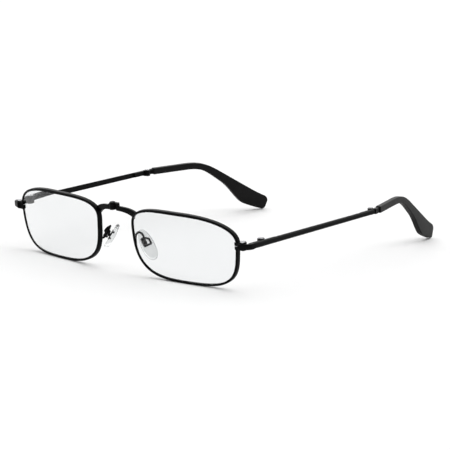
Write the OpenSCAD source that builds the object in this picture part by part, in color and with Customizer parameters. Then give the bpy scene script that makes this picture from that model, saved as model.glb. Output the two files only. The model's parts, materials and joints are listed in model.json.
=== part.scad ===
// Folding reading glasses: two full metal rims joined by a hinge in the bridge, with temples that
// fold at the front and again halfway along. Millimetres. +Z is up, the front faces -Y, the temples
// run to +Y, and the wearer's left is +X. The glasses stand open on a table at Z = 0.

/* [Rims and lenses] */
// Width of one rim, between the middles of its sides
rim_w = 50; // [46:0.5:54]
// Height of one rim, between the middles of its top and bottom
rim_h = 27.4; // [25:0.2:30]
// Gap across the nose, between the middles of the two rims
nose_gap_w = 19.8; // [18:0.2:22]
// Width of the rim wire seen from the front
rim_face = 1.0; // [0.9:0.05:1.3]
// Depth of the rim wire from front to back
rim_depth = 1.9; // [1.7:0.1:2.2]
// Radius of the curve that the rims follow
base_r = 117; // [100:1:140]
// Radius of the lens front
lens_front_r = 98; // [92:1:110]
// Radius of the lens back
lens_back_r = 140; // [130:1:160]
// Thickness of the lens at its middle
lens_t = 2.2; // [2:0.1:2.6]
// Turn of each rim back towards the temple, in degrees
wrap = 6.6; // [4:0.2:8]
// Forward lean of the rims' tops, in degrees
tilt = 8; // [6:0.5:10]

/* [Bridge] */
// Height of the bridge strip at its middle
bridge_h = 1.85; // [1.6:0.05:2.1]
// Depth of the bridge strip
bridge_depth = 1.6; // [1.4:0.05:1.7]
// Height of the bridge strip's middle above the lens centres
bridge_rise = 11.8; // [11.5:0.1:12.2]
// Radius of the bridge hinge's knuckles
bridge_knuckle_r = 1.35; // [1.2:0.05:1.4]

/* [Temples] */
// Distance from the middle of the glasses to the temple's front end
strip_x = 65.45; // [65:0.05:66]
// Length of the front temple section, from its front end to the halfway hinge
strip_len = 71.3; // [68:0.1:74]
// Thickness of the temple strip
strip_t = 1.2; // [1.1:0.05:1.3]
// Height of the temple strip at its front end
strip_h_front = 2.5; // [2.3:0.05:2.7]
// Height of the temple strip at the halfway hinge
strip_h_rear = 2.1; // [2:0.05:2.3]
// Height of the temple's front end above the lens centres
strip_rise = 4.25; // [3.9:0.05:4.6]
// Inward lean of the front temple section, in degrees
strip_yaw = 0.8; // [0.5:0.1:1.2]
// Rise of the temples towards the back, in degrees
temple_pitch = 2.45; // [2:0.05:2.8]
// Inward turn of the rear section from straight, in degrees
rear_turn = 16.6; // [14:0.2:18]

/* [Ear tips] */
// Straight length of the ear tip before its bend
tip_straight = 14.4; // [13:0.2:17]
// Length of the ear tip's bend
tip_bend = 19; // [16:0.5:22]
// Length of the ear tip's blade
tip_blade = 28.5; // [27:0.1:30]
// Height of the ear tip's tube
tip_h = 2.7; // [2.5:0.05:3]
// Widest height of the blade
tip_wide = 7.3; // [7:0.1:8]
// Height of the blade's end
tip_end_h = 5.6; // [5:0.1:6.4]
// Thickness of the ear tip
tip_t = 2.25; // [2:0.05:2.4]

/* [Nose pads] */
// Length of a nose pad
pad_len = 13; // [12:0.1:14]
// Width of a nose pad
pad_w = 5.6; // [5.4:0.1:6.4]
// Thickness of a nose pad
pad_t = 2; // [1.8:0.1:2.2]
// Spread of the pads' lower ends, in degrees from upright
pad_spread = 37; // [33:1:40]
// Turn of each pad about its own length, in degrees
pad_splay = 35; // [30:1:38]

/* [Hidden] */
$fn = 48;

// Finishes
frame_black = [0.07, 0.07, 0.075];
steel = [0.72, 0.72, 0.72];
clear_lens = [0.93, 0.95, 0.95, 0.4];
clear_soft = [0.85, 0.86, 0.86, 0.6];
tip_black = [0.09, 0.09, 0.09];

// Where the glasses stand: the lens centres' height, and the middle of the length
lens_z = 14.07;
middle_y = 66.55;

// Clearances
joint_gap = 0.05;      // between knuckles, along the axis
seat_fit = 0.01;       // screw in the leaf that holds it
running_fit = 0.04;    // screw in the leaf that turns

// Rim outline: a squarish oval whose widest line is above the middle
lens_x = (rim_w + nose_gap_w) / 2;
top_share = 0.36;                          // part of the height above the widest line
top_reach = rim_h * top_share;
low_reach = rim_h * (1 - top_share);
shoulder = rim_h / 2 - top_reach;
side_taper = 0.0033;                       // the sides lean out towards the top
square_top_nose = 3.24;
square_top_ear = 2.21;
square_low_nose = 3.22;
square_low_ear = 4.02;
outline_steps = 96;
groove_depth = 0.35;
groove_w = 1.2;
bevel_gap = 0.04;
sphere_fn = 240;

// Closing block at the rim's outer side, in the lens's own frame
block_v = 3.74;
block_u = 27.75;
block_y = 2.88;
block_r = 1.45;
block_half_h = 1.5;
slit = 0.2;
rim_screw_r = 0.5;

// Temple hinge, in the strip's frame: X outwards, Y along the strip from its front end
butt_y = 8;
hinge_x = -2.15;
hinge_y = 6.4;
hinge_r = 1.45;
hinge_half_h = 1.4;
hinge_mid = 0.95;      // height of the middle knuckle's slot
hinge_screw_r = 0.6;
leaf_in = -1.6;        // inner face of the hinge's flat leaves

// Halfway hinge, in the strip's frame
fold_x = -1.85;
fold_r = 1.15;
fold_half_h = 1.2;
fold_mid = 0.84;
fold_screw_r = 0.45;
fold_leaf_in = -1.35;

// Bridge hinge: its axis runs in front of the strips, so that the halves fold front to front
bridge_axis_y = -2.65;
bridge_axis_z = 11.8;
bridge_screw_r = 0.5;
bridge_low = -0.5;
bridge_top = 2.2;

// Nose pad: middle of the pad, relative to the lens centres' height
pad_at = [10.66, 7.22, -2.65];
pad_screw_r = 0.3;
pad_pivot = [2.4, -1.3, 1.15];   // middle of the pad's screw, in the pad's own frame

// Bends of the pad arm's wire, from the rim round its loop to the pad box
arm_r = 0.45;
arm_route = [
    [9.95, 0.6, -2.2], [9.15, 1.75, -1.5], [8.35, 2.5, 0.2], [8.15, 3.2, 1.65],
    [8.65, 4.2, 2.4], [9.6, 4.95, 1.95], [10.45, 4.73, 1.52], [11.2, 4.5, 0.77],
    [11.92, 4.35, -0.26]
];

// ---------- frames ----------

module on_table() translate([0, -middle_y, lens_z]) children();

// Draws the left piece, or its mirror image for the right
module side(s) on_table() mirror([s > 0 ? 0 : 1, 0, 0]) children();

module lens_frame()
    translate([lens_x, 0, 0]) rotate([0, 0, wrap]) rotate([tilt, 0, 0]) children();

module strip_frame()
    translate([strip_x, butt_y, strip_rise]) rotate([temple_pitch, 0, 0])
        rotate([0, 0, strip_yaw]) children();

module rear_frame()
    strip_frame() translate([fold_x, strip_len, 0]) rotate([0, 0, rear_turn]) children();

module bridge_frame() translate([0, bridge_axis_y, bridge_axis_z]) rotate([tilt, 0, 0]) children();

// X away from the nose, Y across the pad, Z along it, upwards
module pad_frame()
    translate(pad_at) rotate([0, -pad_spread, 0]) rotate([0, 0, -pad_splay]) children();

// ---------- shapes ----------

function power(b, e) = sign(b) * pow(abs(b), e);

function squareness(c, s) =
    s >= 0 ? (c >= 0 ? square_top_ear : square_top_nose)
           : (c >= 0 ? square_low_ear : square_low_nose);

function outline_at(t) =
    let (c = cos(t), s = sin(t), e = 2 / squareness(c, s))
    let (v = (s >= 0 ? top_reach : low_reach) * power(s, e) + shoulder)
    [rim_w / 2 * power(c, e) * (1 + side_taper * v), v];

// Outline of the rim's middle line, grown outwards
function outline(grow) = [
    for (i = [0 : outline_steps - 1])
        let (t = 360 * i / outline_steps)
        let (d = outline_at(t + 0.5) - outline_at(t - 0.5))
        outline_at(t) + grow * [d[1], -d[0]] / norm(d)
];

module outline_prism(grow)
    rotate([90, 0, 0]) linear_extrude(16, center = true) polygon(outline(grow));

// Space between two equal spheres whose poles are at Y = front and Y = back
module bowl(r, front, back)
    difference() {
        translate([0, r + front, 0]) sphere(r, $fn = sphere_fn);
        translate([0, r + back, 0]) sphere(r, $fn = sphere_fn);
    }

module box(low, high) translate(low) cube(high - low);

// Tube with a polygon section through a list of rings
module loft(rings) {
    n = len(rings[0]);
    m = len(rings);
    polyhedron(
        points = [for (ring = rings) each ring],
        faces = concat(
            [[for (j = [n - 1 : -1 : 0]) j]],
            [for (i = [0 : m - 2], j = [0 : n - 1])
                [i * n + j, i * n + (j + 1) % n, (i + 1) * n + (j + 1) % n, (i + 1) * n + j]],
            [[for (j = [0 : n - 1]) (m - 1) * n + j]]
        ),
        convexity = 6
    );
}

// Screw with a slotted head, standing on Z = low with its head on Z = top
module screw(r, low, top, head_r, head_h) {
    difference() {
        union() {
            translate([0, 0, low]) cylinder(top - low + head_h / 2, r = r);
            translate([0, 0, top]) cylinder(head_h, r = head_r);
        }
        translate([0, 0, top + head_h]) rotate([0, 0, 25])
            cube([head_r * 2.2, head_r * 0.32, head_h], center = true);
    }
}

// ---------- rims and lenses ----------

module rim_ring()
    intersection() {
        outline_prism(rim_face / 2);
        bowl(base_r, -rim_depth / 2, rim_depth / 2);
    }

module rim(s) color(frame_black) side(s) lens_frame()
    difference() {
        rim_ring();
        intersection() {
            outline_prism(groove_depth - rim_face / 2);
            bowl(base_r, -groove_w / 2, groove_w / 2);
        }
        outline_prism(-rim_face / 2);
        translate([rim_w / 2, block_y, block_v]) cube([4, 6, slit], center = true);
    }

module lens(s) color(clear_lens) side(s) lens_frame() {
    intersection() {
        outline_prism(-rim_face / 2 - bevel_gap);
        translate([0, lens_front_r - lens_t / 2, 0]) sphere(lens_front_r, $fn = sphere_fn);
        difference() {
            cube(80, center = true);
            translate([0, lens_back_r + lens_t / 2, 0]) sphere(lens_back_r, $fn = sphere_fn);
        }
    }
    intersection() {
        difference() {
            outline_prism(groove_depth - rim_face / 2 - bevel_gap);
            outline_prism(-rim_face / 2 - 4 * bevel_gap);
        }
        bowl(base_r, bevel_gap - groove_w / 2 + 0.2, groove_w / 2 - bevel_gap - 0.2);
    }
}

// Closing block: a lug that wraps the rim, with a barrel for the closing screw
module block_solid() {
    low_v = block_v - block_half_h;
    box([rim_w / 2 - 0.45, block_y - 1.35, low_v], [block_u, block_y + 1.3, low_v + 2 * block_half_h]);
    translate([block_u, block_y, low_v]) cylinder(2 * block_half_h, r = block_r);
}

module block_half(s, upper) color(frame_black) side(s) lens_frame()
    difference() {
        intersection() {
            block_solid();
            translate([block_u, block_y, block_v + (upper ? 1 : -1) * (slit / 2 + 10)])
                cube(20, center = true);
        }
        rim_ring();
        translate([block_u, block_y, block_v]) cylinder(10, r = rim_screw_r + seat_fit, center = true);
    }

module rim_screw(s) color(steel) side(s) lens_frame()
    translate([block_u, block_y, block_v])
        screw(rim_screw_r, -block_half_h - 0.4, block_half_h, 1.15, 0.4);

// ---------- bridge ----------

bridge_steps = 16;
bridge_end = 13.5;

// Middle of the bridge strip at distance x from the centre, and its half height there
function bridge_y(x) = bridge_axis_y + 0.81 + 1.6 * pow(x / 10, 2);
function bridge_z(x) = bridge_rise - 0.35 * pow(x / 10, 2) - 1.6 * pow(x / 10, 4);
function bridge_half_h(x) = bridge_h / 2 + 0.45 * pow(x / 10, 2);

function bridge_ring(x, slope) =
    let (hh = bridge_half_h(x), hd = bridge_depth / 2, c = 0.22)
    [for (p = [[-hd, c - hh], [c - hd, -hh], [hd - c, -hh], [hd, c - hh],
               [hd, hh - c], [hd - c, hh], [c - hd, hh], [-hd, hh - c]])
        let (lean = p[1] * cos(slope))
        [x - p[1] * sin(slope), bridge_y(x) + p[0] - lean * sin(tilt), bridge_z(x) + lean]];

module bridge_strip(s) color(frame_black) side(s)
    difference() {
        loft([for (i = [0 : bridge_steps])
            let (x = bridge_knuckle_r + 0.2 + (bridge_end - bridge_knuckle_r - 0.2) * i / bridge_steps)
            bridge_ring(x, i == 0 ? 0 : atan((bridge_z(x + 0.1) - bridge_z(x)) / 0.1))]);
        lens_frame() outline_prism(rim_face / 2);
    }

bridge_third = (bridge_top - bridge_low) / 3;
web_back = 1.3;

module bridge_knuckle(low, high, bore) {
    difference() {
        union() {
            translate([0, 0, low]) cylinder(high - low, r = bridge_knuckle_r);
            box([0, joint_gap, low], [bridge_knuckle_r + 0.5, web_back, high]);
        }
        translate([0, 0, low - 1]) cylinder(high - low + 2, r = bore);
    }
}

// Plate behind the knuckles, which the bridge strip is soldered to
module bridge_web(top)
    box([bridge_knuckle_r + 0.1, joint_gap, bridge_low], [bridge_knuckle_r + 1.3, web_back, top]);

// Leaf that holds the bridge screw: the top and bottom knuckles
module left_bridge_leaf() color(frame_black) side(1) bridge_frame() {
    bridge_knuckle(bridge_low, bridge_low + bridge_third - joint_gap / 2, bridge_screw_r + seat_fit);
    bridge_knuckle(bridge_top - bridge_third + joint_gap / 2, bridge_top, bridge_screw_r + seat_fit);
    bridge_web(bridge_top);
}

// Leaf that turns on the bridge screw: the middle knuckle
module right_bridge_leaf() color(frame_black) side(-1) bridge_frame() {
    bridge_knuckle(bridge_low + bridge_third + joint_gap / 2, bridge_top - bridge_third - joint_gap / 2,
        bridge_screw_r + running_fit);
    bridge_web(bridge_top - 0.9);
}

module bridge_screw() color(frame_black) side(1) bridge_frame()
    screw(bridge_screw_r, bridge_low - 0.15, bridge_top, 1.05, 0.35);

// ---------- temples ----------

// Outline of a strip of constant thickness along a path in plan
function path_side(path, half) = [
    for (i = [0 : len(path) - 1])
        let (a = path[max(i - 1, 0)], b = path[min(i + 1, len(path) - 1)], d = (b - a) / norm(b - a))
        path[i] + half * [d[1], -d[0]]
];

function path_outline(path, half) =
    let (inner = path_side(path, -half))
    concat(path_side(path, half), [for (i = [len(inner) - 1 : -1 : 0]) inner[i]]);

// End piece: runs out from the closing block and bends back to meet the temple
bend_r = 1.8;
bend_sweep = 65;
bend_at = [-bend_r, -1.3];

module end_piece(s) color(frame_black) side(s)
    difference() {
        strip_frame() translate([0, 0, -strip_h_front / 2 + 0.1]) linear_extrude(strip_h_front - 0.2)
            polygon(path_outline(concat(
                [bend_at + [-2.25, -3.05]],
                [for (a = [-bend_sweep : 5 : 0]) bend_at + bend_r * [cos(a), sin(a)]],
                [[0, -0.03]]), strip_t / 2));
        lens_frame() block_solid();
        lens_frame() rim_ring();
    }

module knuckle(r, low, high, bore)
    difference() {
        union() {
            translate([0, 0, low]) cylinder(high - low, r = r);
            children();
        }
        translate([0, 0, low - 1]) cylinder(high - low + 2, r = bore);
    }

// Leaf on the end piece, which holds the hinge screw: the top and bottom knuckles
module hinge_leaf(s) color(frame_black) side(s) strip_frame() {
    inner = leaf_in;
    outer = -strip_t / 2 - 0.1;
    for (z = [[-hinge_half_h, -hinge_mid / 2], [hinge_mid / 2, hinge_half_h]])
        translate([hinge_x, hinge_y, 0])
            knuckle(hinge_r, z[0], z[1], hinge_screw_r + seat_fit)
                box([inner - hinge_x, -hinge_r - 0.2, z[0]], [outer - hinge_x, 0, z[1]]);
    box([inner, -1.3, -hinge_half_h + 0.3], [outer, hinge_y - hinge_r - 0.15, hinge_half_h - 0.3]);
    box([outer - 0.1, -1.3, -1], [-strip_t / 2, -0.05, 1]);
}

module hinge_screw(s) color(steel) side(s) strip_frame() translate([hinge_x, hinge_y, 0])
    screw(hinge_screw_r, -hinge_half_h - 0.2, hinge_half_h, 1.15, 0.35);

// Front temple section: flat inside and rounded outside
function strip_ring(y, h) = [
    for (a = [-90 : 15 : 90]) [strip_t * (cos(a) - 0.5), y, h / 2 * power(sin(a), 0.85)]
];

module temple_strip(s) color(frame_black) side(s) strip_frame()
    loft([strip_ring(strip_len - 0.03, strip_h_rear), strip_ring(0.05, strip_h_front)]);

// Leaf on the temple, which turns on the hinge screw: the middle knuckle
module temple_leaf(s) color(frame_black) side(s) strip_frame() {
    half = hinge_mid / 2 - joint_gap;
    translate([hinge_x, hinge_y, 0])
        knuckle(hinge_r, -half, half, hinge_screw_r + running_fit)
            box([leaf_in - hinge_x, 0, -half], [-strip_t / 2 - hinge_x, hinge_r + 0.3, half]);
    box([leaf_in, hinge_y + hinge_r + 0.2, -0.95], [-strip_t / 2, hinge_y + 7, 0.95]);
}

// Leaf on the front section, which holds the halfway hinge's screw
module fold_leaf(s) color(frame_black) side(s) strip_frame() {
    for (z = [[-fold_half_h, -fold_mid / 2], [fold_mid / 2, fold_half_h]])
        translate([fold_x, strip_len, 0])
            knuckle(fold_r, z[0], z[1], fold_screw_r + seat_fit)
                box([0, -fold_r - 0.2, z[0]], [-strip_t / 2 - fold_x, -joint_gap, z[1]]);
    box([fold_leaf_in, strip_len - 7, -0.9], [-strip_t / 2, strip_len - fold_r - 0.15, 0.9]);
}

module fold_screw(s) color(steel) side(s) strip_frame() translate([fold_x, strip_len, 0])
    screw(fold_screw_r, -fold_half_h - 0.15, fold_half_h, 0.85, 0.3);

// ---------- rear sections ----------

rear_x = -fold_x;                // the rear strip's middle, from the halfway hinge's axis
stub_len = 4.4;
tip_start = 3.6;
core_len = 17;
core_r = 0.6;

// Leaf on the rear section: the middle knuckle
module tip_leaf(s) color(frame_black) side(s) rear_frame() {
    half = fold_mid / 2 - joint_gap;
    inner = rear_x - strip_t / 2;
    knuckle(fold_r, -half, half, fold_screw_r + running_fit)
        box([0, joint_gap, -half], [inner, fold_r + 0.3, half]);
    box([0.5, fold_r + 0.2, -0.85], [inner, tip_start - 0.1, 0.85]);
}

module core_solid() {
    translate([rear_x, 0, 0])
        box([-strip_t / 2, 0.05, -strip_h_rear / 2], [strip_t / 2, stub_len, strip_h_rear / 2]);
    translate([rear_x, stub_len - 0.5, 0]) rotate([-90, 0, 0]) cylinder(core_len, r = core_r);
}

// Metal end of the rear section, with the core wire inside the ear tip
module tip_core(s) color(frame_black) side(s) rear_frame() core_solid();

// Ear tip: a tube that bends down behind the ear and widens into a flat blade. Lengths run along
// its top edge, and heights are measured down from that edge.
tip_len = tip_straight + tip_bend + tip_blade;
bend_down = -32.95;              // slope of the blade
end_lift = 7;                    // how much less the blade slopes at its end
lift_len = 11;
flare_from = tip_straight + tip_bend + 4.5;
flare_to = tip_len - 11;
flare_start_h = 3.8;             // height where the blade starts to widen
swell_from = tip_straight + tip_bend / 2;
top_corner = 2.4;
low_corner = 1.7;
tip_steps = 40;
tip_ds = (tip_len - top_corner) / tip_steps;

function ease(k) = let (c = min(max(k, 0), 1)) c * c * (3 - 2 * c);
function mix(a, b, k) = a + (b - a) * min(max(k, 0), 1);
function tip_slope(d) =
    bend_down * ease((d - tip_straight) / tip_bend)
    + end_lift * max(0, 1 - (tip_len - d) / lift_len);

function flare(k) = mix(flare_start_h, tip_wide, (k + ease(k)) / 2);
function tip_height(d) =
    d < flare_from ? mix(tip_h, flare_start_h, (d - swell_from) / (flare_from - swell_from))
    : d < flare_to ? flare((d - flare_from) / (flare_to - flare_from))
    : mix(tip_wide, tip_end_h, 1 - (tip_len - d) / (tip_len - flare_to));

// How far a corner of radius r is cut back at distance left from the end
function corner_cut(r, left) = left >= r ? 0 : r - sqrt(r * r - (r - left) * (r - left));

// Points along the tip's top edge, [y, z], one step after another
tip_path = [
    for (i = 0, p = [tip_start, tip_h / 2]; i <= tip_steps;
         p = p + tip_ds * [cos(tip_slope((i + 0.5) * tip_ds)), sin(tip_slope((i + 0.5) * tip_ds))],
         i = i + 1) p
];

// Section at distance d: a rounded rectangle hung from the top edge
function tip_ring(d) =
    let (i = min(floor(d / tip_ds), tip_steps), slope = tip_slope(d), left = tip_len - d)
    let (p = tip_path[i] + (d - i * tip_ds) * [cos(slope), sin(slope)])
    let (high = -corner_cut(top_corner, left), low = corner_cut(low_corner, left) - tip_height(d))
    [for (a = [0 : 22.5 : 359])
        let (w = (high + low) / 2 + (high - low) / 2 * power(sin(a), 0.6))
        [rear_x + tip_t / 2 * power(cos(a), 0.6), p[0] - w * sin(slope), p[1] + w * cos(slope)]
    ];

tip_stations = concat(
    [for (i = [0 : tip_steps]) i * tip_ds],
    [for (k = [0.45, 0.75, 0.93, 1]) tip_len - top_corner + k * top_corner]
);

module ear_tip(s) color(tip_black) side(s) rear_frame()
    difference() {
        loft([for (k = [len(tip_stations) - 1 : -1 : 0]) tip_ring(tip_stations[k])]);
        core_solid();
    }

// ---------- nose pads ----------

function catmull(p, k, t) =
    let (a = p[max(k - 1, 0)], b = p[k], c = p[k + 1], d = p[min(k + 2, len(p) - 1)])
    let (bow = 2 * a - 5 * b + 4 * c - d, twist = 3 * b - a - 3 * c + d)
    0.5 * (2 * b + (c - a) * t + bow * t * t + twist * t * t * t);

arm_line = concat(
    [for (k = [0 : len(arm_route) - 2], t = [0 : 0.25 : 0.75]) catmull(arm_route, k, t)],
    [arm_route[len(arm_route) - 1]]);

// The loop lies close to one plane, whose normal keeps the wire's rings from twisting
arm_normal = [-0.65, 0.64, -0.42];

function arm_ring(i) =
    let (a = arm_line[max(i - 1, 0)], b = arm_line[min(i + 1, len(arm_line) - 1)])
    let (d = (b - a) / norm(b - a), u = cross(d, arm_normal), un = u / norm(u), w = cross(d, un))
    [for (j = [0 : 45 : 315]) arm_line[i] + arm_r * (cos(j) * un + sin(j) * w)];

module pad_arm(s) color(frame_black) side(s)
    loft([for (i = [len(arm_line) - 1 : -1 : 0]) arm_ring(i)]);

pad_box_half = 0.8;
stem_half = 0.35;

// Box that the pad's stem pivots in, open towards the pad and at both ends
module pad_box(s) color(frame_black) side(s) pad_frame() translate(pad_pivot)
    difference() {
        box([-0.85, -pad_box_half, -1.45], [1.1, pad_box_half, 1.45]);
        box([-2, -stem_half - 0.08, -2], [0.75, stem_half + 0.08, 2]);
        rotate([90, 0, 0]) cylinder(4, r = pad_screw_r + seat_fit, center = true);
    }

module pad_screw(s) color(steel) side(s) pad_frame() translate(pad_pivot) rotate([90, 0, 0]) {
    cylinder(2 * pad_box_half + 0.3, r = pad_screw_r, center = true);
    translate([0, 0, pad_box_half]) cylinder(0.25, r = 0.55);
}

// Metal loop sunk into the pad's back, round a window, with two feet in the soft pad
insert_back = 1.2;
insert_t = 0.6;
insert_end = 1.9;                // half the loop's length along the pad
insert_bar = 0.75;
foot_x = 0.1;                    // how deep the feet go into the pad

// The loop's two outlines, across the pad and along it; one corner is cut off
insert_outside = [[-1.75, -insert_end], [1.35, -insert_end], [1.75, -1.5], [1.75, 0.7],
    [0.2, insert_end], [-1.75, insert_end]];
insert_window = [[-0.75, -1.15], [0.8, -1.15], [1, -0.95], [1, 0.35], [-0.03, 1.15], [-0.75, 1.15]];

module insert_solid() translate([0, 0, pad_pivot[2]]) {
    translate([insert_back - insert_t, 0, 0]) rotate([90, 0, 90]) linear_extrude(insert_t)
        difference() {
            polygon(insert_outside);
            polygon(insert_window);
        }
    for (end = [-insert_end, insert_end - insert_bar])
        box([foot_x, -0.6, end + 0.05], [insert_back - 0.1, 0, end + insert_bar - 0.05]);
}

// Insert with the stem that turns on the pad screw
module pad_insert(s) color(frame_black) side(s) pad_frame()
    difference() {
        union() {
            insert_solid();
            translate(pad_pivot) {
                box([insert_back - pad_pivot[0] - 0.05, -stem_half, -0.62], [0, stem_half, 0.62]);
                rotate([90, 0, 0]) cylinder(2 * stem_half, r = 0.62, center = true);
            }
        }
        translate(pad_pivot) rotate([90, 0, 0])
            cylinder(4, r = pad_screw_r + running_fit, center = true);
    }

pad_steps = 48;
pad_crown_r = 32;
pad_taper = 0.08;                // how much narrower the pad is above its middle

// Soft pad: a drop-shaped plate, slightly domed towards the nose
module nose_pad(s) color(clear_soft) side(s) pad_frame()
    difference() {
        intersection() {
            translate([-pad_t / 2, 0, 0]) rotate([0, 90, 0]) linear_extrude(pad_t)
                polygon([for (i = [0 : pad_steps - 1])
                    let (a = 360 * i / pad_steps)
                    let (half_w = pad_w / 2 * (1 + pad_taper * cos(a)))
                    [pad_len / 2 * power(cos(a), 0.9), half_w * power(sin(a), 0.9)]]);
            translate([pad_crown_r - pad_t / 2, 0, 0]) sphere(pad_crown_r, $fn = sphere_fn);
        }
        insert_solid();
    }

rim(1);  // left_rim
lens(1);  // left_lens
block_half(1, true);  // left_block_upper
block_half(1, false);  // left_block_lower
rim_screw(1);  // left_rim_screw
end_piece(1);  // left_end_piece
hinge_leaf(1);  // left_hinge_leaf
hinge_screw(1);  // left_hinge_screw
temple_strip(1);  // left_temple_strip
temple_leaf(1);  // left_temple_leaf
fold_leaf(1);  // left_fold_leaf
fold_screw(1);  // left_fold_screw
tip_leaf(1);  // left_tip_leaf
tip_core(1);  // left_tip_core
ear_tip(1);  // left_ear_tip
pad_arm(1);  // left_pad_arm
pad_box(1);  // left_pad_box
pad_screw(1);  // left_pad_screw
pad_insert(1);  // left_pad_insert
nose_pad(1);  // left_nose_pad
bridge_strip(1);  // left_bridge_strip
left_bridge_leaf();
bridge_screw();
rim(-1);  // right_rim
lens(-1);  // right_lens
block_half(-1, true);  // right_block_upper
block_half(-1, false);  // right_block_lower
rim_screw(-1);  // right_rim_screw
end_piece(-1);  // right_end_piece
hinge_leaf(-1);  // right_hinge_leaf
hinge_screw(-1);  // right_hinge_screw
temple_strip(-1);  // right_temple_strip
temple_leaf(-1);  // right_temple_leaf
fold_leaf(-1);  // right_fold_leaf
fold_screw(-1);  // right_fold_screw
tip_leaf(-1);  // right_tip_leaf
tip_core(-1);  // right_tip_core
ear_tip(-1);  // right_ear_tip
pad_arm(-1);  // right_pad_arm
pad_box(-1);  // right_pad_box
pad_screw(-1);  // right_pad_screw
pad_insert(-1);  // right_pad_insert
nose_pad(-1);  // right_nose_pad
bridge_strip(-1);  // right_bridge_strip
right_bridge_leaf();
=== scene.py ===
import json
import math

import bmesh
import bpy
from mathutils import Matrix, Vector

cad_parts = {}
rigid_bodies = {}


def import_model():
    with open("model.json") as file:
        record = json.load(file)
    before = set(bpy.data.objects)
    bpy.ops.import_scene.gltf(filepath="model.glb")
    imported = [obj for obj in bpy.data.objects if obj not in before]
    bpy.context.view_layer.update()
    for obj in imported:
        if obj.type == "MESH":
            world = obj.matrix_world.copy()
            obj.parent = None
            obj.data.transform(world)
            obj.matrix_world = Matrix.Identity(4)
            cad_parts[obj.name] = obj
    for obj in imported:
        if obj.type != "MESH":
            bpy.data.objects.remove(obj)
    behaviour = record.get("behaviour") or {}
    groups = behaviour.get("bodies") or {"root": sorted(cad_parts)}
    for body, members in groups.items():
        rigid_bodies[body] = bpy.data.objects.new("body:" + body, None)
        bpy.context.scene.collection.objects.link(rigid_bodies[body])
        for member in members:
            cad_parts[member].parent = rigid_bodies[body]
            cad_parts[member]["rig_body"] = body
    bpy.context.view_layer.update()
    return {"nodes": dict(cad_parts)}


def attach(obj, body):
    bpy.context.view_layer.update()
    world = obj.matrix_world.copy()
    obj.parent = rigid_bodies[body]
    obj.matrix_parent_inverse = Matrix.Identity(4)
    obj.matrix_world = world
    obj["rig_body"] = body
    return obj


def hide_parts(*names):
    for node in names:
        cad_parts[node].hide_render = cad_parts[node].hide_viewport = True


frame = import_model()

# Folding reading glasses. Shapes are worked out in millimetres and degrees, in the same local
# frames as the CAD source, for the wearer's left side (+X). The right side is their mirror image.
MM = 0.001
SIDES = {"left": 1, "right": -1}

# ---------- driving sizes, the same as in the CAD source ----------

RIM_W = 50
RIM_H = 27.4
NOSE_GAP_W = 19.8
RIM_FACE = 1.0
RIM_DEPTH = 1.9
BASE_R = 117
LENS_FRONT_R = 98
LENS_BACK_R = 140
LENS_T = 2.2
WRAP = 6.6
TILT = 8

TOP_SHARE = 0.36
SIDE_TAPER = 0.0033
SQUARE_TOP_NOSE = 3.24
SQUARE_TOP_EAR = 2.21
SQUARE_LOW_NOSE = 3.22
SQUARE_LOW_EAR = 4.02
GROOVE_DEPTH = 0.35
GROOVE_W = 1.2
BEVEL_GAP = 0.04
BLOCK_V = 3.74
SLIT = 0.2

BRIDGE_H = 1.85
BRIDGE_DEPTH = 1.6
BRIDGE_RISE = 11.8
BRIDGE_KNUCKLE_R = 1.35
BRIDGE_AXIS_Y = -2.65

STRIP_X = 65.45
BUTT_Y = 8
STRIP_RISE = 4.25
STRIP_LEN = 71.3
STRIP_T = 1.2
STRIP_H_FRONT = 2.5
STRIP_H_REAR = 2.1
STRIP_YAW = 0.8
TEMPLE_PITCH = 2.45
FOLD_X = -1.85
REAR_TURN = 16.6

TIP_START = 3.6
TIP_STRAIGHT = 14.4
TIP_BEND = 19
TIP_BLADE = 28.5
TIP_H = 2.7
TIP_WIDE = 7.3
TIP_END_H = 5.6
TIP_T = 2.25
BEND_DOWN = -32.95
END_LIFT = 7
LIFT_LEN = 11
FLARE_START_H = 3.8
TOP_CORNER = 2.4
LOW_CORNER = 1.7
TIP_SHORT = 0.1        # the smooth tip ends this much before the faceted one

PAD_LEN = 13
PAD_W = 5.6
PAD_T = 2
PAD_SPREAD = 37
PAD_SPLAY = 35
PAD_AT = (10.66, 7.22, -2.65)
PAD_CROWN_R = 32
PAD_TAPER = 0.08
ARM_R = 0.45
ARM_ROUTE = [
    (9.95, 0.6, -2.2), (9.15, 1.75, -1.5), (8.35, 2.5, 0.2), (8.15, 3.2, 1.65), (8.65, 4.2, 2.4),
    (9.6, 4.95, 1.95), (10.45, 4.73, 1.52), (11.2, 4.5, 0.77), (11.92, 4.35, -0.26),
]

LENS_Z = 14.07
MIDDLE_Y = 66.55

# ---------- local frames ----------


def turn(axis, degrees):
    return Matrix.Rotation(math.radians(degrees), 4, axis)


def move(x, y, z):
    return Matrix.Translation((x, y, z))


LENS_X = (RIM_W + NOSE_GAP_W) / 2
ON_TABLE = move(0, -MIDDLE_Y, LENS_Z)
LENS_FRAME = ON_TABLE @ move(LENS_X, 0, 0) @ turn("Z", WRAP) @ turn("X", TILT)
STRIP_FRAME = (
    ON_TABLE @ move(STRIP_X, BUTT_Y, STRIP_RISE) @ turn("X", TEMPLE_PITCH) @ turn("Z", STRIP_YAW)
)
REAR_FRAME = STRIP_FRAME @ move(FOLD_X, STRIP_LEN, 0) @ turn("Z", REAR_TURN)
PAD_FRAME = ON_TABLE @ move(*PAD_AT) @ turn("Y", -PAD_SPREAD) @ turn("Z", -PAD_SPLAY)

# ---------- material kit ----------


def new_material(name):
    """A material, its nodes and its links, with only a Principled shader wired to the output."""
    material = bpy.data.materials.new(name)
    material.use_nodes = True
    tree = material.node_tree
    return material, tree, tree.nodes["Principled BSDF"]


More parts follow.
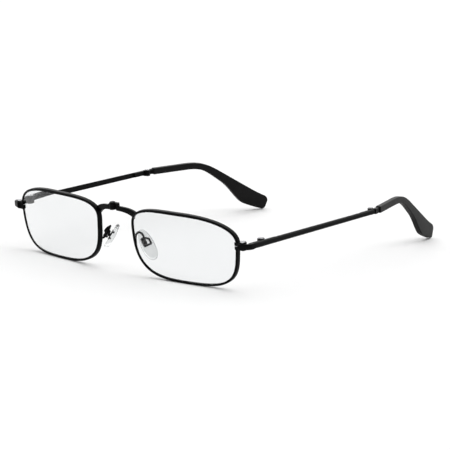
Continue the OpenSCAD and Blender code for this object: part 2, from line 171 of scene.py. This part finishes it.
def noise(tree, scale, detail=3.0):
    """Noise in object coordinates, in metres."""
    coords = tree.nodes.new("ShaderNodeTexCoord")
    texture = tree.nodes.new("ShaderNodeTexNoise")
    texture.inputs["Scale"].default_value = scale
    texture.inputs["Detail"].default_value = detail
    texture.inputs["Roughness"].default_value = 0.55
    tree.links.new(coords.outputs["Object"], texture.inputs["Vector"])
    return texture.outputs["Fac"]


def span(tree, value, low, high):
    """value from 0..1 to low..high."""
    node = tree.nodes.new("ShaderNodeMapRange")
    node.inputs["To Min"].default_value = low
    node.inputs["To Max"].default_value = high
    tree.links.new(value, node.inputs["Value"])
    return node.outputs["Result"]


def between(tree, value, dark, light):
    """A colour ramp from dark to light, over the middle of the noise's span."""
    ramp = tree.nodes.new("ShaderNodeValToRGB")
    ramp.color_ramp.elements[0].position = 0.3
    ramp.color_ramp.elements[1].position = 0.7
    ramp.color_ramp.elements[0].color = (*dark, 1)
    ramp.color_ramp.elements[1].color = (*light, 1)
    tree.links.new(value, ramp.inputs["Fac"])
    return ramp.outputs["Color"]


def bump(tree, value, strength, distance):
    node = tree.nodes.new("ShaderNodeBump")
    node.inputs["Strength"].default_value = strength
    node.inputs["Distance"].default_value = distance
    tree.links.new(value, node.inputs["Height"])
    return node.outputs["Normal"]


def frame_paint():
    """Satin black lacquer on metal: fine orange peel, and a slightly uneven gloss."""
    material, tree, shader = new_material("satin_black_lacquer")
    cloud = noise(tree, 260)
    grain = noise(tree, 5200, detail=2)
    tree.links.new(between(tree, cloud, (0.001, 0.001, 0.0012), (0.0028, 0.0028, 0.003)),
                   shader.inputs["Base Color"])
    tree.links.new(span(tree, noise(tree, 900), 0.3, 0.42), shader.inputs["Roughness"])
    tree.links.new(bump(tree, grain, 0.25, 0.00002), shader.inputs["Normal"])
    shader.inputs["Specular IOR Level"].default_value = 0.06
    return material


def screw_steel():
    """Bright turned steel, with a fine uneven grain."""
    material, tree, shader = new_material("bright_screw_steel")
    tree.links.new(between(tree, noise(tree, 1800), (0.3, 0.3, 0.31), (0.46, 0.46, 0.47)),
                   shader.inputs["Base Color"])
    tree.links.new(span(tree, noise(tree, 7000), 0.18, 0.34), shader.inputs["Roughness"])
    tree.links.new(bump(tree, noise(tree, 9000), 0.2, 0.00001), shader.inputs["Normal"])
    shader.inputs["Metallic"].default_value = 1
    return material


def insert_metal():
    """Near-black metal of the pads' inserts, much darker than bare steel."""
    material, tree, shader = new_material("near_black_insert_metal")
    tree.links.new(between(tree, noise(tree, 1500), (0.005, 0.005, 0.0055), (0.012, 0.012, 0.013)),
                   shader.inputs["Base Color"])
    tree.links.new(span(tree, noise(tree, 3000), 0.25, 0.4), shader.inputs["Roughness"])
    shader.inputs["Metallic"].default_value = 0.8
    return material


def tip_plastic():
    """Satin black moulded plastic with a fine grain."""
    material, tree, shader = new_material("satin_black_plastic")
    tree.links.new(between(tree, noise(tree, 180), (0.003, 0.003, 0.003), (0.0062, 0.006, 0.006)),
                   shader.inputs["Base Color"])
    tree.links.new(span(tree, noise(tree, 700), 0.42, 0.54), shader.inputs["Roughness"])
    tree.links.new(bump(tree, noise(tree, 4200, detail=4), 0.3, 0.00003), shader.inputs["Normal"])
    shader.inputs["Specular IOR Level"].default_value = 0.12
    return material


def see_through(material, tree, shader):
    """Lets lamps and soft light straight through, so a clear piece has no black shadow."""
    path = tree.nodes.new("ShaderNodeLightPath")
    either = tree.nodes.new("ShaderNodeMath")
    either.operation = "MAXIMUM"
    clear = tree.nodes.new("ShaderNodeBsdfTransparent")
    blend = tree.nodes.new("ShaderNodeMixShader")
    clear.inputs["Color"].default_value = (0.94, 0.945, 0.945, 1)
    tree.links.new(path.outputs["Is Shadow Ray"], either.inputs[0])
    tree.links.new(path.outputs["Is Diffuse Ray"], either.inputs[1])
    tree.links.new(either.outputs[0], blend.inputs["Fac"])
    tree.links.new(shader.outputs["BSDF"], blend.inputs[1])
    tree.links.new(clear.outputs["BSDF"], blend.inputs[2])
    tree.links.new(blend.outputs["Shader"], tree.nodes["Material Output"].inputs["Surface"])
    return material


def lens_glass():
    """Clear moulded lens with a faint cool tint, coated against reflections."""
    material, tree, shader = new_material("clear_lens")
    tree.links.new(between(tree, noise(tree, 60), (0.865, 0.875, 0.88), (0.88, 0.89, 0.895)),
                   shader.inputs["Base Color"])
    shader.inputs["Transmission Weight"].default_value = 1
    shader.inputs["IOR"].default_value = 1.5
    shader.inputs["Specular Tint"].default_value = (0.05, 0.05, 0.05, 1)
    shader.inputs["Roughness"].default_value = 0
    return see_through(material, tree, shader)


def soft_silicone():
    """Clear soft silicone, a little cloudy."""
    material, tree, shader = new_material("clear_silicone")
    tree.links.new(between(tree, noise(tree, 500), (0.69, 0.7, 0.7), (0.78, 0.79, 0.79)),
                   shader.inputs["Base Color"])
    tree.links.new(span(tree, noise(tree, 1300), 0.06, 0.16), shader.inputs["Roughness"])
    tree.links.new(bump(tree, noise(tree, 700), 0.15, 0.00004), shader.inputs["Normal"])
    shader.inputs["Transmission Weight"].default_value = 1
    shader.inputs["IOR"].default_value = 1.41
    return see_through(material, tree, shader)


MATERIALS = {
    "frame_metal": frame_paint(),
    "screw_steel": screw_steel(),
    "insert_metal": insert_metal(),
    "ear_tip": tip_plastic(),
    "lens": lens_glass(),
    "soft_pad": soft_silicone(),
}

# ---------- mesh kit ----------


def loft(rings):
    """Points and faces of a skin over rings of points, with a flat cap on each end."""
    n = len(rings[0])
    points = [p for ring in rings for p in ring]
    faces = [tuple(reversed(range(n)))]
    for a in range(0, n * (len(rings) - 1), n):
        faces += [(a + j, a + (j + 1) % n, a + n + (j + 1) % n, a + n + j) for j in range(n)]
    faces.append(tuple(range(a + n, a + 2 * n)))
    return points, faces


def piece(node, local, shape, slot, crease=35):
    """A smooth mesh that stands for a CAD node, in its place, on its body."""
    side = SIDES[node.split("_")[0]]
    to_row = Matrix.Diagonal((side, 1, 1, 1)) @ Matrix.Scale(MM, 4) @ local
    points, faces = shape
    mesh = bpy.data.meshes.new(node + "_shape")
    mesh.from_pydata([to_row @ Vector(p) for p in points], [], faces)
    tidy = bmesh.new()
    tidy.from_mesh(mesh)
    bmesh.ops.remove_doubles(tidy, verts=tidy.verts, dist=1e-7)
    bmesh.ops.recalc_face_normals(tidy, faces=tidy.faces)
    tidy.to_mesh(mesh)
    tidy.free()
    mesh.shade_smooth()
    mesh.set_sharp_from_angle(angle=math.radians(crease))
    mesh.materials.append(MATERIALS[slot])
    made = bpy.data.objects.new(node + "_smooth", mesh)
    bpy.context.scene.collection.objects.link(made)
    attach(made, frame["nodes"][node]["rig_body"])
    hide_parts(node)
    return made


def rounded_corners(low, high, radius, steps=4):
    """A rectangle from low to high with rounded corners, as points in order."""
    centres = [(high[0] - radius, high[1] - radius, 0), (low[0] + radius, high[1] - radius, 90),
               (low[0] + radius, low[1] + radius, 180), (high[0] - radius, low[1] + radius, 270)]
    points = []
    for cx, cy, start in centres:
        for k in range(steps + 1):
            a = math.radians(start + 90 * k / steps)
            points.append((cx + radius * math.cos(a), cy + radius * math.sin(a)))
    return points


def power(base, exponent):
    return math.copysign(abs(base) ** exponent, base)


def ease(k):
    k = min(max(k, 0), 1)
    return k * k * (3 - 2 * k)


def mix(a, b, k):
    return a + (b - a) * min(max(k, 0), 1)


def catmull(points, t):
    """Point on a smooth curve through points, with t from 0 to the last point's number."""
    k = min(int(t), len(points) - 2)
    a, b, c, d = (Vector(points[min(max(k + i, 0), len(points) - 1)]) for i in (-1, 0, 1, 2))
    t -= k
    return 0.5 * (2 * b + (c - a) * t + (2 * a - 5 * b + 4 * c - d) * t * t
                  + (3 * b - a - 3 * c + d) * t * t * t)


# ---------- rims and lenses ----------

TOP_REACH = RIM_H * TOP_SHARE
LOW_REACH = RIM_H - TOP_REACH
SHOULDER = RIM_H / 2 - TOP_REACH
OUTLINE_STEPS = 360


def outline_at(t):
    c, s = math.cos(t), math.sin(t)
    if s >= 0:
        square = SQUARE_TOP_EAR if c >= 0 else SQUARE_TOP_NOSE
    else:
        square = SQUARE_LOW_EAR if c >= 0 else SQUARE_LOW_NOSE
    v = (TOP_REACH if s >= 0 else LOW_REACH) * power(s, 2 / square) + SHOULDER
    return Vector((RIM_W / 2 * power(c, 2 / square) * (1 + SIDE_TAPER * v), v))


def even_outline(steps):
    """Evenly spaced points of the rim's middle line, and the outward direction at each."""
    fine = 14400
    line = [outline_at(2 * math.pi * i / fine) for i in range(fine + 1)]
    along = [0]
    for a, b in zip(line, line[1:]):
        along.append(along[-1] + (b - a).length)
    spots, k = [], 0
    for i in range(steps):
        goal = along[-1] * i / steps
        while along[k + 1] < goal:
            k += 1
        share = (goal - along[k]) / (along[k + 1] - along[k])
        spots.append(line[k].lerp(line[k + 1], share))
    outward = []
    for i in range(steps):
        d = (spots[(i + 1) % steps] - spots[i - 1]).normalized()
        outward.append(Vector((d.y, -d.x)))
    return spots, outward


SPOTS, OUTWARD = even_outline(OUTLINE_STEPS)


def on_base(u, v):
    """Depth of the rims' base curve."""
    return BASE_R - math.sqrt(BASE_R ** 2 - u * u - v * v)


def rim_point(i, out, depth):
    spot = SPOTS[i] + OUTWARD[i] * out
    return (spot.x, on_base(spot.x, spot.y) + depth, spot.y)


def rim_shape():
    """The rim's wire: rounded outside, with the lens groove inside, and open at the slit."""
    half = RIM_FACE / 2
    wire = rounded_corners((-half, -RIM_DEPTH / 2), (half, RIM_DEPTH / 2), 0.3, steps=5)
    groove_floor = GROOVE_DEPTH - half
    groove = [(-half, GROOVE_W / 2), (groove_floor, GROOVE_W / 2 - 0.12),
              (groove_floor, 0.12 - GROOVE_W / 2), (-half, -GROOVE_W / 2)]
    inner = len(wire) // 2
    section = wire[:inner] + groove + wire[inner:]
    rings = []
    for i in range(OUTLINE_STEPS):
        in_slit = SPOTS[i].x > 0 and abs(SPOTS[i].y - BLOCK_V) < SLIT / 2
        if not in_slit:
            rings.append([rim_point(i, out, depth) for out, depth in section])
    start = next(i for i, ring in enumerate(rings)
                 if ring[0][0] > 0 and ring[0][2] > BLOCK_V + SLIT / 2)
    return loft(rings[start:] + rings[:start])


def lens_shape():
    """A meniscus lens with a bevelled edge that sits in the rim's groove."""
    edge = -RIM_FACE / 2 - BEVEL_GAP
    ridge = GROOVE_DEPTH - RIM_FACE / 2 - BEVEL_GAP
    rings_in = 22
    ridge_half = GROOVE_W / 2 - BEVEL_GAP - 0.26

    def face_ring(share, radius, middle):
        ring = []
        for i in range(OUTLINE_STEPS):
            spot = (SPOTS[i] + OUTWARD[i] * edge) * share
            sag = radius - math.sqrt(radius ** 2 - spot.length_squared)
            ring.append((spot.x, middle + sag, spot.y))
        return ring

    shares = [math.sin(math.pi / 2 * k / rings_in) for k in range(1, rings_in + 1)]
    front = [face_ring(share, LENS_FRONT_R, -LENS_T / 2) for share in shares]
    back = [face_ring(share, LENS_BACK_R, LENS_T / 2) for share in reversed(shares)]
    bevel = [[rim_point(i, ridge, depth) for i in range(OUTLINE_STEPS)]
             for depth in (-ridge_half, ridge_half)]
    return loft(front + bevel + back)


# ---------- bridge ----------


def bridge_strip_shape():
    """Arched bar from the rim's top corner to the bridge hinge, taller towards the rim."""
    start = BRIDGE_KNUCKLE_R + 0.2
    end = 13.5
    steps = 48
    corner = 0.32
    ahead = 0.1

    def middle(x):
        y = BRIDGE_AXIS_Y + 0.81 + 1.6 * (x / 10) ** 2
        z = BRIDGE_RISE - 0.35 * (x / 10) ** 2 - 1.6 * (x / 10) ** 4
        return y, z

    rings = []
    for i in range(steps + 1):
        x = start + (end - start) * i / steps
        y, z = middle(x)
        slope = math.atan((middle(x + ahead)[1] - z) / ahead) if i else 0
        half_h = BRIDGE_H / 2 + 0.45 * (x / 10) ** 2
        half_d = BRIDGE_DEPTH / 2
        ring = []
        for depth, rise in rounded_corners((-half_d, -half_h), (half_d, half_h), corner, steps=5):
            lean = rise * math.cos(slope)
            ring.append((x - rise * math.sin(slope),
                         y + depth - lean * math.sin(math.radians(TILT)), z + lean))
        rings.append(ring)
    return trimmed_by_rim(rings)


def trimmed_by_rim(rings):
    """Ends a loft on the rim's outer face: rings that are past it are drawn in to it."""
    to_lens = LENS_FRAME.inverted() @ ON_TABLE

    def inside(p):
        q = to_lens @ Vector(p)
        spot = Vector((q.x, q.z))
        nearest = min(range(OUTLINE_STEPS), key=lambda i: (SPOTS[i] - spot).length_squared)
        return (spot - SPOTS[nearest]).dot(OUTWARD[nearest]) < 0

    kept = [rings[0]]
    for ring in rings[1:]:
        drawn = []
        for a, b in zip(kept[-1], ring):
            drawn.append(a if inside(a) else b)
        kept.append(drawn)
    return loft(kept)


# ---------- temples ----------


def strip_ring(y, height, inset=0.0):
    """Section of the temple strip: flat inside, rounded outside."""
    half = height / 2 - inset
    ring = []
    for a in range(-90, 91, 6):
        c, s = math.cos(math.radians(a)), math.sin(math.radians(a))
        ring.append(((STRIP_T - inset) * c - STRIP_T / 2, y, half * power(s, 0.85)))
    corner = 0.12
    ring[0] = (corner - STRIP_T / 2, y, -half)
    ring[-1] = (corner - STRIP_T / 2, y, half)
    ring.append((inset - STRIP_T / 2, y, half - corner))
    ring.append((inset - STRIP_T / 2, y, corner - half))
    return ring


def temple_strip_shape():
    first, last, ease_in = 0.05, STRIP_LEN - 0.03, 0.1
    stations = [(first, ease_in), (first + ease_in, 0)]
    stations += [(mix(first, last, k / 12), 0) for k in range(1, 12)]
    stations += [(last - ease_in, 0), (last, ease_in)]
    rings = []
    for y, inset in stations:
        rings.append(strip_ring(y, mix(STRIP_H_FRONT, STRIP_H_REAR, y / STRIP_LEN), inset))
    return loft(rings)


END_BEND_R = 1.8
END_SWEEP = 65


def end_piece_shape():
    """Flat strip that runs out from the closing block and bends back to meet the temple."""
    centre = Vector((-END_BEND_R, -1.3))
    path = [centre + Vector((-2.25, -3.05)).lerp(Vector((0.76, -1.63)), k / 8) for k in range(8)]
    for k in range(0, END_SWEEP + 1, 5):
        a = math.radians(k - END_SWEEP)
        path.append(centre + END_BEND_R * Vector((math.cos(a), math.sin(a))))
    path += [Vector((0, -0.6)), Vector((0, -0.15)), Vector((0, -0.03))]
    half_h = STRIP_H_FRONT / 2 - 0.1
    rings = []
    for i, spot in enumerate(path):
        d = (path[min(i + 1, len(path) - 1)] - path[max(i - 1, 0)]).normalized()
        across = Vector((d.y, -d.x))
        inset = 0.1 if i == len(path) - 1 else 0
        half_t = STRIP_T / 2 - inset
        ring = []
        for out, rise in rounded_corners((-half_t, inset - half_h), (half_t, half_h - inset), 0.3):
            p = spot + across * out
            ring.append((p.x, p.y, rise))
        rings.append(ring)
    return loft(rings)


# ---------- ear tips ----------

REAR_X = -FOLD_X
TIP_LEN = TIP_STRAIGHT + TIP_BEND + TIP_BLADE
SWELL_FROM = TIP_STRAIGHT + TIP_BEND / 2
FLARE_FROM = TIP_STRAIGHT + TIP_BEND + 4.5
FLARE_TO = TIP_LEN - 11


def tip_slope(d):
    bent = BEND_DOWN * ease((d - TIP_STRAIGHT) / TIP_BEND)
    return math.radians(bent + END_LIFT * max(0, 1 - (TIP_LEN - d) / LIFT_LEN))


def tip_height(d):
    if d < FLARE_FROM:
        return mix(TIP_H, FLARE_START_H, (d - SWELL_FROM) / (FLARE_FROM - SWELL_FROM))
    if d < FLARE_TO:
        k = (d - FLARE_FROM) / (FLARE_TO - FLARE_FROM)
        return mix(FLARE_START_H, TIP_WIDE, (k + ease(k)) / 2)
    return mix(TIP_WIDE, TIP_END_H, (d - FLARE_TO) / (TIP_LEN - FLARE_TO))


def rounded_in(radius, left):
    """How far a rounded corner is cut back at distance left from its end."""
    return 0 if left >= radius else radius - math.sqrt(radius ** 2 - (radius - left) ** 2)


def ear_tip_shape():
    """A tube that bends down behind the ear and widens into a flat blade with rounded corners."""
    fine = 0.02
    brim = 0.15
    end_round = 0.5
    end_rings = 14
    length = TIP_LEN - TIP_SHORT
    steps = round(length / fine)
    edge_line = [Vector((TIP_START, TIP_H / 2))]
    for i in range(steps):
        a = tip_slope((i + 0.5) * fine)
        edge_line.append(edge_line[-1] + fine * Vector((math.cos(a), math.sin(a))))
    stations = [0, 0.03, 0.1, 0.2] + [0.6 + 0.5 * k for k in range(120)]
    stations = [d for d in stations if d < length - TOP_CORNER]
    stations += [length - TOP_CORNER * (1 - math.sin(math.pi / 2 * k / end_rings))
                 for k in range(end_rings + 1)]
    rings = []
    for d in stations:
        left = length - d
        squeeze = rounded_in(brim, d) + rounded_in(end_round, left)
        high = -rounded_in(TOP_CORNER, left) - rounded_in(brim, d)
        low = rounded_in(LOW_CORNER, left) + rounded_in(brim, d) - smooth_height(d)
        half_t = TIP_T / 2 - squeeze
        slope = tip_slope(d)
        top = edge_line[min(round(d / fine), steps)]
        corner = min(0.32, half_t * 0.8)
        ring = []
        for out, w in rounded_corners((-half_t, low), (half_t, high), corner, steps=6):
            ring.append((REAR_X + out, top.x - w * math.sin(slope), top.y + w * math.cos(slope)))
        rings.append(ring)
    return loft(rings)


def smooth_height(d):
    """The tip's height, evened out over a short stretch, so that its lower corner is soft."""
    reach = 1.6
    return sum(tip_height(min(d + reach * k / 4, TIP_LEN)) for k in range(-4, 5)) / 9


# ---------- nose pads ----------

ARM_NORMAL = Vector((-0.65, 0.64, -0.42))


def pad_arm_shape():
    """Round wire from the rim round its loop to the pad box."""
    steps = 96
    sides = 20
    line = [catmull(ARM_ROUTE, (len(ARM_ROUTE) - 1) * i / steps) for i in range(steps + 1)]
    rings = []
    for i, spot in enumerate(line):
        d = (line[min(i + 1, steps)] - line[max(i - 1, 0)]).normalized()
        across = d.cross(ARM_NORMAL).normalized()
        up = d.cross(across)
        turns = [2 * math.pi * j / sides for j in range(sides)]
        rings.append([spot + ARM_R * (math.cos(a) * across + math.sin(a) * up) for a in turns])
    return loft(rings)


def nose_pad_shape():
    """Soft drop-shaped plate: slightly domed towards the nose, with a rounded edge."""
    around = 96
    face_rings = 12
    brim_rings = 10
    brim = 0.88            # how far out the flat faces reach, as a share of the outline
    squarer = 0.9          # a power under 1 fills the outline out a little
    half_t = PAD_T / 2

    def ring_at(share, face):
        ring = []
        for i in range(around):
            a = 2 * math.pi * i / around
            z = -PAD_LEN / 2 * power(math.cos(a), squarer) * share
            half_w = PAD_W / 2 * (1 + PAD_TAPER * math.cos(a))
            y = half_w * power(math.sin(a), squarer) * share
            dome = PAD_CROWN_R - half_t - math.sqrt(PAD_CROWN_R ** 2 - y * y - z * z)
            ring.append((mix(dome, half_t, face), y, z))
        return ring

    shares = [math.sin(math.pi / 2 * k / face_rings) * brim for k in range(1, face_rings + 1)]
    rings = [ring_at(share, 0) for share in shares]
    for k in range(1, brim_rings):
        a = math.pi * k / brim_rings
        rings.append(ring_at(brim + (1 - brim) * math.sin(a), (1 - math.cos(a)) / 2))
    rings += [ring_at(share, 1) for share in reversed(shares)]
    return loft(rings)


# ---------- make the pieces ----------

SMOOTH = {
    "rim": (LENS_FRAME, rim_shape, "frame_metal"),
    "lens": (LENS_FRAME, lens_shape, "lens"),
    "bridge_strip": (ON_TABLE, bridge_strip_shape, "frame_metal"),
    "end_piece": (STRIP_FRAME, end_piece_shape, "frame_metal"),
    "temple_strip": (STRIP_FRAME, temple_strip_shape, "frame_metal"),
    "ear_tip": (REAR_FRAME, ear_tip_shape, "ear_tip"),
    "pad_arm": (ON_TABLE, pad_arm_shape, "frame_metal"),
    "nose_pad": (PAD_FRAME, nose_pad_shape, "soft_pad"),
}
for part, (local, shape, slot) in SMOOTH.items():
    built = shape()
    for side_name in SIDES:
        piece(f"{side_name}_{part}", local, built, slot)

# ---------- finish on the CAD pieces that stay ----------

for name, node in frame["nodes"].items():
    if node.hide_render:
        continue
    part = name.split("_", 1)[1] if name.split("_")[0] in SIDES else name
    if part.endswith("screw") and part != "bridge_screw":
        slot = "screw_steel"
    elif part == "pad_insert":
        slot = "insert_metal"
    else:
        slot = "frame_metal"
    node.data.materials.clear()
    node.data.materials.append(MATERIALS[slot])
    weld = node.modifiers.new("weld", "WELD")
    weld.merge_threshold = 1e-6
    flat = node.modifiers.new("flat_faces", "DECIMATE")
    flat.decimate_type = "DISSOLVE"
    flat.angle_limit = math.radians(1)
    edge = node.modifiers.new("soft_edges", "BEVEL")
    edge.limit_method = "ANGLE"
    edge.angle_limit = math.radians(35)
    edge.width = 0.09 * MM
    edge.segments = 3
    edge.harden_normals = True
    node.data.shade_smooth()

# ---------- floor, light and camera ----------

FAR = 20               # half the floor's width, in metres
floor_mesh = bpy.data.meshes.new("floor")
floor_mesh.from_pydata([(-FAR, -FAR, 0), (FAR, -FAR, 0), (FAR, FAR, 0), (-FAR, FAR, 0)],
                       [], [(0, 1, 2, 3)])
floor = bpy.data.objects.new("floor", floor_mesh)
bpy.context.scene.collection.objects.link(floor)
floor_paint, _, floor_shader = new_material("pale_floor")
floor_shader.inputs["Base Color"].default_value = (0.9, 0.9, 0.9, 1)
floor_shader.inputs["Roughness"].default_value = 0.9
floor_mesh.materials.append(floor_paint)

world = bpy.data.worlds.new("studio")
bpy.context.scene.world = world
world.use_nodes = True
sky = world.node_tree
sky.nodes["Background"].inputs["Color"].default_value = (1, 1, 1, 1)
way = sky.nodes.new("ShaderNodeTexCoord")
parts = sky.nodes.new("ShaderNodeSeparateXYZ")
sky.links.new(way.outputs["Generated"], parts.inputs["Vector"])
# A bright wall behind the glasses and a dim room in front, for dark sides and light top edges
wall = sky.nodes.new("ShaderNodeMapRange")
wall.interpolation_type = "SMOOTHSTEP"
wall.inputs["From Min"].default_value = -0.1
wall.inputs["From Max"].default_value = 0.7
wall.inputs["To Min"].default_value = 0.2
wall.inputs["To Max"].default_value = 1.5
sky.links.new(parts.outputs["Y"], wall.inputs["Value"])
sky.links.new(wall.outputs["Result"], sky.nodes["Background"].inputs["Strength"])
bpy.context.scene.view_settings.view_transform = "Standard"


def soft_sun(name, towards_light, strength, spread):
    """A wide, soft lamp far away, like a studio's light tent."""
    data = bpy.data.lights.new(name, "SUN")
    data.energy = strength
    data.angle = math.radians(spread)
    made = bpy.data.objects.new(name, data)
    bpy.context.scene.collection.objects.link(made)
    made.rotation_euler = Vector(towards_light).to_track_quat("Z", "Y").to_euler()


soft_sun("overhead", (-0.15, 0.2, 1), 1.75, 100)

# The camera stands in front of the wearer's left lens, and looks a little down
CAMERA_AZIMUTH = 43.39
CAMERA_RISE = 11.25
CAMERA_AWAY = 1.131
FIELD_MM = 227.1
TARGET = Vector((20.07, 40 - MIDDLE_Y, 1.545 + LENS_Z)) * MM

azimuth, rise = math.radians(CAMERA_AZIMUTH), math.radians(CAMERA_RISE)
towards = Vector((math.sin(azimuth) * math.cos(rise), -math.cos(azimuth) * math.cos(rise),
                  math.sin(rise)))
camera_data = bpy.data.cameras.new("camera")
camera_data.lens = FIELD_MM
camera_data.clip_start = 0.01
camera = bpy.data.objects.new("camera", camera_data)
bpy.context.scene.collection.objects.link(camera)
camera.location = TARGET + towards * CAMERA_AWAY
camera.rotation_euler = (-towards).to_track_quat("-Z", "Y").to_euler()
bpy.context.scene.camera = camera
